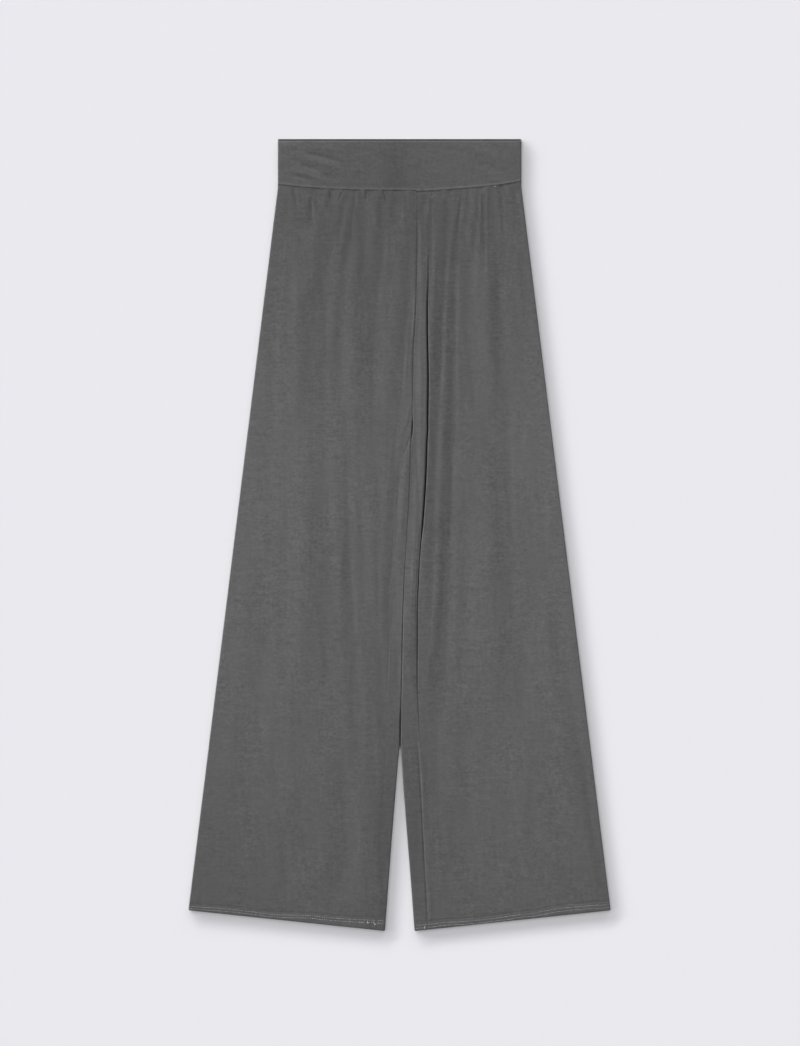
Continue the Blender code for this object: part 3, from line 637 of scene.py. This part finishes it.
def leg_rows(row_share):
    """For each row of a panel: (share of the way from hem to band, distance above that, inset)."""
    reach = BAND_SEAM_MIDDLE - HEM_INNER
    rows = [(0.0, above, PLY_STEP) for above in TURN_ROWS]
    rows += [(0.0, above, inset) for above, inset in turned_edge()]
    rows += [(0.0, above, 0.0) for above in np.arange(*HEM_ROWS, EDGE_STEP)]
    for (low, count), (high, _) in zip(ZONES, ZONES[1:]):
        starts = np.linspace(low, high, max(2, round(count * row_share)) + 1)[:-1]
        rows += [((y - HEM_INNER) / reach, 0.0, 0.0) for y in starts]
    rows += [(1.0, -down, 0.0) for down in np.arange(SEAM_ROWS, -0.0001, -EDGE_STEP)]
    return np.array(rows)


def squared(value, power):
    return np.sign(value) * np.abs(value) ** power


def around_inner_fold(around, y, inset):
    """(distance out, height, lift) at a place round the inner fold: 0 at its top, 2 FOLD_HALF at its bottom."""
    radius = FOLD_RADIUS - inset
    power = smooth_line(INNER_SQUARE, "power", y)
    angle = np.clip(around, 0, 2 * FOLD_HALF) / FOLD_RADIUS
    along = np.minimum(around, 0) - np.maximum(around - 2 * FOLD_HALF, 0)
    lift = np.cos(angle)
    out = FOLD_INSET - radius * squared(np.sin(angle), power) - along
    return out, FOLD_AXIS + radius * squared(np.cos(angle), power), lift


def around_side_fold(quarter, up, width, inset):
    """(distance out, height, lift, distance from the inseam) at the side fold, at shares of the way from its top
    (up is 1) or its bottom (-1) to the side seam."""
    radius = FOLD_RADIUS - inset
    angle = quarter * (math.pi / 2 - JOIN / 2 / FOLD_RADIUS)
    axis = width - CLOTH / 2 - FOLD_RADIUS
    height = FOLD_AXIS + up * radius * squared(np.cos(angle), SQUARE_SIDE)
    out = axis + radius * squared(np.sin(angle), SQUARE_SIDE)
    return out, height, up * np.cos(angle) + 0 * width, FAR + 0 * width


def around_leg(around, up, y, inset):
    """(distance out, height, lift) at a place round a leg: on its inner fold below the crotch, and above that flat,
    as far as the centre seam, on the front (up is 1) or the back (-1)."""
    out, z, lift = around_inner_fold(around, y, inset)
    above_crotch = ease((y - CROTCH) / CROTCH_EASE)
    inward = around if up > 0 else 2 * FOLD_HALF - around
    out = mix(out, np.maximum(FOLD_INSET - inward, JOIN / 2), above_crotch)
    z = mix(z, FOLD_AXIS + up * (FOLD_RADIUS - inset), above_crotch)
    return out, z, mix(lift, up, above_crotch)


def inseam(leg, up, y):
    """Where round a leg its front (up is 1) or its back (-1) ends: at the inseam, and above it the centre seam."""
    strip = smooth_line(INSEAM_STRIP[leg], "width", y)
    centre = FOLD_INSET if up > 0 else 2 * FOLD_HALF - FOLD_INSET
    return mix(FOLD_HALF - strip, centre, ease((y - CROTCH) / CROTCH_EASE)) - up * JOIN / 2


def settle(leg, rows, columns, place, sunk=None):
    """The middle surface of a panel. place gives each point's distance out, height, lift and distance from the
    inseam by how far up the garment it lies, which follows from the distance out, by the slant of the hem."""
    share, above, inset = (np.repeat(rows[:, [field]], columns, axis=1) for field in range(3))
    y = mix(HEM_INNER, BAND_SEAM_MIDDLE, share)
    for _ in range(SETTLE_ROUNDS):
        width = leg_width(leg, y)
        out, z, lift, from_seam = place(y, width, inset)
        x = inner_edge(leg, y) + SIDE[leg] * (out + slit(y, out, z))
        hem = hem_line(out, width)
        top = band_seam(x) - JOIN / 2
        y = mix(hem, top, share) + above
    raised = z + relief(leg, x, y, y - hem, from_seam) * ease(lift)
    raised = raised + back_relief(leg, x, y, y - hem, top - y) * ease(-lift)
    # Painted shade: deep in the tuck the cloth's colour is darkened.
    shade = np.zeros_like(x)
    if sunk is not None:
        depth = np.clip(smooth_line(TUCK, "depth", y), 0, 1) * sunk
        raised = mix(raised, np.minimum(raised, TUCK_FLOOR), depth)
        shade = ease(depth)
    return np.stack([x, y, raised], axis=-1), shade


def graded(columns):
    return (np.arange(1, columns + 1) / columns) ** COLUMN_SPREAD


def front_panel(leg):
    """A front panel, from its inseam and centre-front seam out to its side seam."""
    walls = [*TUCK_WALL, (0.0, 1.0), *((-beside, sunk) for beside, sunk in TUCK_WALL[::-1])]
    columns = [(step, 0, 0, 0, 0) for step in SEAM_STEPS]
    last = SEAM_STEPS[-1]
    if leg == "left":
        inner = np.arange(1, INNER_COLUMNS + 1) / (INNER_COLUMNS + 1)
        columns += [(last, share, walls[0][0], 0, 0) for share in inner]
        columns += [(0, 1, beside, 0, sunk) for beside, sunk in walls]
        columns += [(0, 1, walls[-1][0], share, 0) for share in graded(FRONT_COLUMNS[leg])]
    else:
        columns += [(last, 0, 0, share, 0) for share in graded(FRONT_COLUMNS[leg])]
    step, to_tuck, beside, to_side, sunk = np.array(columns).T
    quarter = np.arange(1, SIDE_STEPS + 1) / SIDE_STEPS
    sunk = np.concatenate([sunk, np.zeros(SIDE_STEPS)])

    def place(y, width, inset):
        flat, side = np.s_[:, : len(step)], np.s_[:, len(step) :]
        end = inseam(leg, 1, y[flat])
        tuck = FOLD_INSET - smooth_line(TUCK, "x", y[flat]) + inner_edge(leg, y[flat])
        tuck = tuck + beside * smooth_line(TUCK, "wide", y[flat])
        side_fold = 2 * FOLD_INSET - width[flat] - JOIN / 2
        around = mix(mix(end - step, tuck, to_tuck), side_fold, to_side)
        inner = (*around_leg(around, 1, y[flat], inset[flat]), end - around)
        outer = around_side_fold(quarter, 1, width[side], inset[side])
        return [np.concatenate(pair, axis=1) for pair in zip(inner, outer)]

    return settle(leg, leg_rows(1.0), len(step) + SIDE_STEPS, place, sunk if leg == "left" else None)


def back_panel(leg):
    """A back panel: from its side seam, flat on the ground, round the inner fold to the inseam."""
    quarter = np.arange(SIDE_STEPS, 0, -1) / SIDE_STEPS
    flat_share = np.linspace(1, 0, BACK_COLUMNS + 1)
    bent_columns = FOLD_COLUMNS + STRIP_COLUMNS
    fold_share = 1 - np.arange(1, FOLD_COLUMNS + 1) / FOLD_COLUMNS
    strip_share = np.arange(1, STRIP_COLUMNS + 1) / STRIP_COLUMNS
    strip_share = 1 - (1 - strip_share) ** STRIP_SPREAD
    least_share = np.arange(bent_columns)[::-1] / bent_columns

    def place(y, width, inset):
        side, rest = np.s_[:, :SIDE_STEPS], np.s_[:, SIDE_STEPS:]
        end = inseam(leg, -1, y[rest])
        reach = width[rest][:, : len(flat_share)] - 2 * FOLD_INSET + JOIN / 2
        flat = 2 * FOLD_HALF + flat_share * reach
        fold = 2 * FOLD_HALF * fold_share + 0 * end[:, :FOLD_COLUMNS]
        on_front = np.minimum(end[:, -STRIP_COLUMNS:], 0) * strip_share
        bent = np.concatenate([fold, on_front], axis=1)
        bent = np.maximum(bent, mix(end[:, -bent_columns:], 2 * FOLD_HALF, least_share))
        around = np.concatenate([flat, bent], axis=1)
        inner = (*around_leg(around, -1, y[rest], inset[rest]), around - end)
        outer = around_side_fold(quarter, -1, width[side], inset[side])
        return [np.concatenate(pair, axis=1) for pair in zip(outer, inner)]

    return settle(leg, leg_rows(BACK_ROW_SHARE), SIDE_STEPS + len(flat_share) + bent_columns, place)


def wrinkle_height(wrinkle, x, y):
    start = np.array([wrinkle.x_from, wrinkle.y_from])
    run = np.array([wrinkle.x_to, wrinkle.y_to]) - start
    length = math.hypot(*run)
    across = ((x - start[0]) * run[1] - (y - start[1]) * run[0]) / length
    along = ((x - start[0]) * run[0] + (y - start[1]) * run[1]) / length**2
    bow = WRINKLE_BOW * np.sin(math.pi * np.clip(along, 0, 1))
    ends = ease(along / WRINKLE_EASE) * ease((1 - along) / WRINKLE_EASE)
    return wrinkle.height * ends * bump(across + bow, wrinkle.width)


def band_relief(x, over_seam, under_top, y):
    """How far the waistband's front is lifted at (x, y)."""
    height = sum(wrinkle_height(wrinkle, x, y) for wrinkle in WRINKLES) + ripples(x, BAND_RIPPLE_STRETCH * y)
    gathers = sum(crease.height * bump(x - crease.x, crease.width) for crease in CREASES if crease.y > GATHERED)
    height += BAND_GATHERS * gathers * ease(1 - over_seam / BAND_GATHERS_REACH)
    height += BAND_RIDGE * bump(over_seam - BAND_RIDGE_UP, BAND_RIDGE_WIDTH)
    return height * ease(under_top / BAND_TOP_EASE)


def waistband():
    """The waistband's loop, from the left side fold over the front to the right one and back beneath."""
    turns = np.linspace(0, math.pi, BAND_FOLD_STEPS + 1)
    left_x, right_x = (WAIST_HALF[leg] - CLOTH / 2 - FOLD_RADIUS for leg in SIDE)
    front_x = np.linspace(left_x, -right_x, BAND_FRONT_COLUMNS + 1)[1:-1]
    back_x = np.linspace(-right_x, left_x, BAND_BACK_COLUMNS + 1)[1:-1]
    upward = BAND_LOW_ROWS + list(np.linspace(*BAND_HIGH_ROWS, BAND_ROWS - len(BAND_LOW_ROWS)))
    rows = [(share, 0.0, 0.0) for share in upward]
    rows += [(1.0, -down, inset) for down, inset in turned_edge()[::-1]]
    rows += [(share, 0.0, PLY_STEP) for share in np.linspace(BAND_INNER_TOP, 0.0, BAND_INNER_ROWS)]
    points, shades = [], []
    for number, (share, beyond, inset) in enumerate(rows):
        radius = FOLD_RADIUS - inset
        bulge = radius * squared(np.sin(turns), SQUARE_SIDE)
        height = radius * squared(np.cos(turns), SQUARE_SIDE)
        x = np.concatenate([left_x + bulge[::-1], front_x, -right_x - bulge, back_x])
        z = np.concatenate([-height, 0 * front_x + radius, height, 0 * back_x - radius])
        up = z / radius
        edge = TOP - FRONT_TOP_STEP * ease(up)
        seam = band_seam(x) + JOIN / 2
        y = mix(seam, edge, share) + beyond
        lifted = band_relief(x, y - seam, edge - y, y) * ease(up)
        lifted += BAND_BACK_RIDGE * bump(y - seam, BAND_BACK_RIDGE_WIDTH) * ease(-up)
        points.append(np.stack([x, y, FOLD_AXIS + z + lifted], axis=-1))
        # Painted shade on the turned edge and the inner ply
        turned = number >= BAND_ROWS
        shades.append(turned * np.where(up < 0, BAND_INSIDE_SHADE, BAND_EDGE_SHADE))
    points = np.array(points)
    return np.concatenate([points, points[:, :1]], axis=1), np.array(shades)


def normals_of(points, loop, side):
    """Which way the cloth's face looks at each point of its middle surface."""
    across = np.gradient(points, axis=1)
    if loop:
        seam = points[:, 1] - points[:, -2]
        across[:, 0] = across[:, -1] = seam
    facing = np.cross(across, np.gradient(points, axis=0)) * side
    return facing / np.maximum(np.linalg.norm(facing, axis=-1, keepdims=True), 1e-12)


# Finishes


class Amount:
    """A number that changes over a surface. Sums on it add the nodes for them."""

    def __init__(self, finish, socket):
        self.finish, self.socket = finish, socket

    def sum(self, operation, *others):
        sockets = dict(enumerate([self, *others]))
        return Amount(self.finish, self.finish.node("ShaderNodeMath", {"operation": operation}, sockets).outputs[0])

    def __add__(self, other):
        return self.sum("ADD", other)

    def __sub__(self, other):
        return self.sum("SUBTRACT", other)

    def __rsub__(self, other):
        return (self * -1).sum("ADD", other)

    def __mul__(self, other):
        return self.sum("MULTIPLY", other)

    __radd__, __rmul__ = __add__, __mul__


class Finish:
    """A material made by code."""

    def __init__(self, name):
        self.material = bpy.data.materials.new(name)
        self.material.use_nodes = True
        self.tree = self.material.node_tree
        self.shader = self.tree.nodes["Principled BSDF"]
        self.place = self.node("ShaderNodeTexCoord").outputs["Object"]

    def node(self, kind, settings=None, sockets=None):
        made = self.tree.nodes.new(kind)
        for key, value in (settings or {}).items():
            setattr(made, key, value)
        self.fill(made, sockets or {})
        return made

    def fill(self, node, sockets):
        for key, value in sockets.items():
            value = value.socket if isinstance(value, Amount) else value
            if isinstance(value, bpy.types.NodeSocket):
                self.tree.links.new(value, node.inputs[key])
            else:
                node.inputs[key].default_value = value

    def grain(self, scale, detail=2.0, roughness=0.5):
        """Noise with features of about one over scale, along x, y and z, centred on 0 and up to about 1."""
        sockets = {"Vector": self.place, "Scale": scale}
        stretched = self.node("ShaderNodeMapping", None, sockets).outputs[0]
        sockets = {"Vector": stretched, "Scale": 1.0, "Detail": detail, "Roughness": roughness}
        noise = self.node("ShaderNodeTexNoise", {"normalize": True}, sockets)
        return (Amount(self, noise.outputs[0]) - 0.5) * 2

    def ribs(self, along, pitch):
        """Fine ribs at a pitch, along x or y."""
        axis = {"x": (1, 0, 0), "y": (0, 1, 0)}[along]
        at = self.node("ShaderNodeVectorMath", {"operation": "DOT_PRODUCT"}, {0: self.place, 1: axis})
        return (Amount(self, at.outputs["Value"]) * (2 * math.pi / pitch)).sum("SINE")

    def attribute(self, name):
        """An amount that the piece's own mesh carries."""
        return Amount(self, self.node("ShaderNodeAttribute", {"attribute_name": name}).outputs["Fac"])

    def grey(self, tone, light):
        """A grey of one tone, made lighter or darker by an amount."""
        return self.node("ShaderNodeVectorMath", {"operation": "SCALE"}, {0: [tone] * 3, "Scale": light}).outputs[0]

    def bumped(self, strength, distance, height):
        sockets = {"Strength": strength, "Distance": distance, "Height": height}
        return self.node("ShaderNodeBump", None, sockets).outputs[0]


def jersey(name, tone, texture):
    """Fine viscose jersey: short slubs across, a knitted face, a slight sheen."""
    finish = Finish(name)
    slubs = finish.grain((95, 190, 95), detail=3.0, roughness=0.6)
    fine = finish.grain((210, 280, 210), roughness=0.6)
    streaks = finish.grain((240, 38, 240))
    speckle = finish.grain((600, 700, 600), detail=1.0)
    clouds = finish.grain((14, 9, 14), detail=3.0)
    long_slubs = finish.grain((18, 330, 18))
    flecks = (finish.grain((300, 430, 300), detail=1.0) - 0.55).sum("MAXIMUM", 0.0)
    worn = finish.grain((26, 12, 26))
    worn = (worn * 1.2 + 1.0).sum("MAXIMUM", 0.6).sum("MINIMUM", 1.4) * texture
    light = 1 + (slubs * 0.22 + fine * 0.26 + speckle * 0.05 + long_slubs * 0.07 + streaks * 0.09) * worn
    light = light + flecks * 1.3 + clouds * 0.05
    # The shade attribute darkens the colour with painted shade.
    # The tone attribute is partly painted light and shade, besides the cloth's own tone.
    light = light * finish.attribute("tone") * (1 - finish.attribute("shade") * 0.97)
    ribs = finish.ribs("y", 0.00085) * 0.16 + finish.ribs("x", 0.00070) * 0.22
    knit = ribs + fine * 0.5 + slubs * 0.6 + speckle * 0.3
    finish.fill(finish.shader, {
        "Base Color": finish.grey(tone, light),
        "Roughness": 0.82 + fine * 0.06 + slubs * 0.04,
        "Normal": finish.bumped(0.5, 0.00012, knit),
        "Sheen Weight": 0.08,
        "Sheen Roughness": 0.5,
        "Specular IOR Level": 0.25,
    })
    return finish.material


def thread(name, tone):
    """Spun sewing thread."""
    finish = Finish(name)
    twist = finish.grain((900, 900, 900), detail=1.0)
    uneven = finish.grain((160, 160, 160))
    finish.fill(finish.shader, {
        "Base Color": finish.grey(tone, (1 + twist * 0.2 + uneven * 0.3) * finish.attribute("tone")),
        "Roughness": 0.6 + uneven * 0.1,
        "Normal": finish.bumped(0.4, 0.00005, twist),
    })
    return finish.material


# Pieces


def add_object(name, data):
    made = bpy.data.objects.new(name, data)
    bpy.context.scene.collection.objects.link(made)
    return made


def show(name, made, material, node=None):
    """A piece from a finished bmesh, and what it stands for."""
    mesh = bpy.data.meshes.new(name)
    made.to_mesh(mesh)
    made.free()
    mesh.shade_smooth()
    mesh.set_sharp_from_angle(angle=SHARP)
    mesh.materials.append(material)
    piece = add_object(name, mesh)
    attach(piece, "root")
    if node:
        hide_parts(node)
    return piece


def cloth_wall(points, shades, side, loop=False):
    """A closed wall of cloth round its middle surface, and its outer face's points."""
    facing = normals_of(points, loop, side)
    outer, inner = points + facing * CLOTH / 2, points - facing * CLOTH / 2
    rows, columns = points.shape[:2]
    cloth = bmesh.new()
    row_of, column_of = (cloth.verts.layers.int.new(layer) for layer in ("row", "column"))
    shade_of, tone_of = (cloth.verts.layers.float.new(layer) for layer in ("shade", "tone"))
    # Each point carries its tone, part of which is painted light and shade.
    tones_and_painted_light = tone_and_painted_light_at(points[..., 0], points[..., 1])
    bmesh.ops.create_grid(cloth, x_segments=columns - 1, y_segments=rows - 1, size=0.5)
    for vertex in cloth.verts:
        column = round((vertex.co.x + 0.5) * (columns - 1))
        row = round((vertex.co.y + 0.5) * (rows - 1))
        vertex[column_of], vertex[row_of] = column, row
        vertex[shade_of] = shades[row, column % shades.shape[1]]
        vertex[tone_of] = tones_and_painted_light[row, column]
        vertex.co = outer[row, column]
    if loop:
        bmesh.ops.remove_doubles(cloth, verts=cloth.verts, dist=MERGE)
    doubled = bmesh.ops.extrude_face_region(cloth, geom=cloth.faces[:], use_keep_orig=True)["geom"]
    for vertex in doubled:
        if isinstance(vertex, bmesh.types.BMVert):
            vertex.co = inner[vertex[row_of], vertex[column_of]]
    bmesh.ops.recalc_face_normals(cloth, faces=cloth.faces)
    if cloth.calc_volume(signed=True) < 0:
        bmesh.ops.reverse_faces(cloth, faces=cloth.faces)
    return cloth, outer


def stitch_line(leg, outer, over):
    """Points on a panel's outer face where a row of hem stitching runs."""
    first = len(TURN_ROWS) + TURN_STEPS
    rows = slice(first, first + STITCH_ROWS)
    line = []
    for column in range(outer.shape[1]):
        x, y, z = outer[rows, column].T
        out = SIDE[leg] * (x[0] - inner_edge(leg, y[0]))
        at = hem_line(out, leg_width(leg, y[0])) + smooth_line(STITCHING[leg], "above", abs(x[0]), "x") + over
        line.append([np.interp(at, y, axis) for axis in (x, y, z)])
    return np.array(line)


def add_stitch(made, ends, lightness):
    """One stitch, dipping into the cloth at its ends."""
    run = ends[1] - ends[0]
    middle = (ends[0] + ends[1]) / 2
    turn = run.to_track_quat("X", "Z").to_matrix().to_4x4()
    size = Matrix.Diagonal((run.length / 2, THREAD, THREAD * THREAD_FLAT, 1))
    stitch = bmesh.ops.create_uvsphere(
        made, u_segments=6, v_segments=4, radius=1,
        matrix=Matrix.Translation(middle) @ turn @ size @ Matrix.Rotation(math.pi / 2, 4, "Y"),
    )
    tone_of = made.verts.layers.float["tone"]
    for vertex in stitch["verts"]:
        vertex[tone_of] = lightness


def add_stitches(made, line, chance):
    """A row of stitches along a line."""
    steps = np.linalg.norm(np.diff(line, axis=0), axis=1)
    along = np.concatenate([[0], np.cumsum(steps)])
    for start in np.arange(STITCH_FROM, along[-1] - STITCH_LENGTH, STITCH_PITCH):
        length = STITCH_LENGTH + STITCH_UNEVEN * chance.uniform(-1, 1)
        ends = [Vector([np.interp(at, along, axis) for axis in line.T]) for at in (start, start + length)]
        for end in ends:
            end.y += STITCH_STRAY * chance.uniform(-1, 1)
        add_stitch(made, ends, 1 - STITCH_FADE * chance.random() ** 2)


def add_finishings(made, leg, points):
    """A leg's short stitches, laid on its outer face's points."""
    for finishing in FINISHINGS[leg]:
        ends = []
        for x, y in ((finishing.x_from, finishing.y_from), (finishing.x_to, finishing.y_to)):
            near = points[np.hypot(points[:, 0] - x, points[:, 1] - y) < FINISHING_REACH]
            ends.append(Vector((x, y, near[:, 2].max() + THREAD / 2)))
        add_stitch(made, ends, finishing.tone)


leg_cloth = jersey("leg_jersey", CLOTH_TONE, 1.03)
band_cloth = jersey("band_jersey", CLOTH_TONE, 0.95)
hem_thread = thread("hem_thread", THREAD_TONE)
hem_stitches = bmesh.new()
hem_stitches.verts.layers.float.new("tone")
chance = np.random.default_rng(11)
for leg in SIDE:
    outside = []
    for part, panel in (("front", front_panel), ("back", back_panel)):
        points, shades = panel(leg)
        wall, outer = cloth_wall(points, shades, SIDE[leg])
        name = f"{part}_{leg}"
        show(f"jersey_{name}", wall, leg_cloth, name)
        for over in (0.0, NEEDLE_GAP[leg]):
            add_stitches(hem_stitches, stitch_line(leg, outer, over), chance)
        outside.append(outer.reshape(-1, 3))
    add_finishings(hem_stitches, leg, np.concatenate(outside))
wall, _ = cloth_wall(*waistband(), 1, loop=True)
band = show("jersey_waistband", wall, band_cloth, "waistband")
bmesh.ops.recalc_face_normals(hem_stitches, faces=hem_stitches.faces)
show("hem_stitching", hem_stitches, hem_thread)

# Floor, light and camera
FLOOR_DROP = 0.0002
FLOOR_HALF = 40.0
WINDOW_DISTANCE = 200.0
FRAME_HEIGHT = 1.413
FRAME_MIDDLE = 0.0165
LENS = 90.0


def floor_finish():
    finish = Finish("studio_floor")
    finish.fill(finish.shader, {"Base Color": (0.80, 0.79, 0.83, 1.0), "Roughness": 1.0, "Specular IOR Level": 0.0})
    return finish.material


ground = bmesh.new()
bmesh.ops.create_grid(ground, x_segments=1, y_segments=1, size=FLOOR_HALF)
bmesh.ops.translate(ground, verts=ground.verts, vec=(0, 0, -FLOOR_DROP))
floor_mesh = bpy.data.meshes.new("floor")
ground.to_mesh(floor_mesh)
ground.free()
floor_mesh.materials.append(floor_finish())
floor = add_object("floor", floor_mesh)


def aim(name, light, azimuth, elevation, away):
    """A light that faces the middle. Azimuth is measured from +X, anticlockwise seen from above."""
    made = add_object(name, light)
    turn, up = math.radians(azimuth), math.radians(elevation)
    towards = Vector((math.cos(turn) * math.cos(up), math.sin(turn) * math.cos(up), math.sin(up)))
    made.location = towards * away
    made.rotation_euler = towards.to_track_quat("Z", "Y").to_euler()
    made.visible_camera = False
    return made


def window(name, azimuth, half_width, low, high, brightness, colour):
    """A wide, low, distant window, its lower and upper edge so many degrees up."""
    light = bpy.data.lights.new(name, "AREA")
    light.shape = "RECTANGLE"
    sill, head = (WINDOW_DISTANCE * math.tan(math.radians(up)) for up in (low, high))
    light.size, light.size_y = 2 * WINDOW_DISTANCE * math.tan(math.radians(half_width)), head - sill
    light.energy, light.color = brightness * math.pi * light.size * light.size_y, colour
    aim(name, light, azimuth, 0, WINDOW_DISTANCE).location.z = (sill + head) / 2


window("wide_window", 131, 33.6, 9.6, 13.7, 68.0, (1.0, 0.995, 0.99))
window("left_window", 180, 13.9, 13.4, 27.1, 5.9, (1.0, 1.0, 1.08))
window("right_window", 70, 10.9, 8.9, 23.1, 9.39, (1.0, 1.0, 1.08))
overhead = bpy.data.lights.new("overhead", "SUN")
overhead.energy, overhead.angle, overhead.color = 1.205, math.radians(80), (1.015, 1.028, 0.924)
aim("overhead", overhead, 120, 75, 3)
world = bpy.data.worlds.new("studio")
world.use_nodes = True
sky = world.node_tree.nodes["Background"].inputs
sky["Color"].default_value = (0.88, 0.86, 1.0, 1.0)
sky["Strength"].default_value = 0.2156
bpy.context.scene.world = world

camera_data = bpy.data.cameras.new("camera")
camera_data.lens = LENS
camera_data.sensor_width = 36.0
camera = add_object("camera", camera_data)
camera.location = (0.0, FRAME_MIDDLE, FRAME_HEIGHT * LENS / camera_data.sensor_width)
bpy.context.scene.camera = camera
bpy.context.scene.view_settings.view_transform = "Standard"
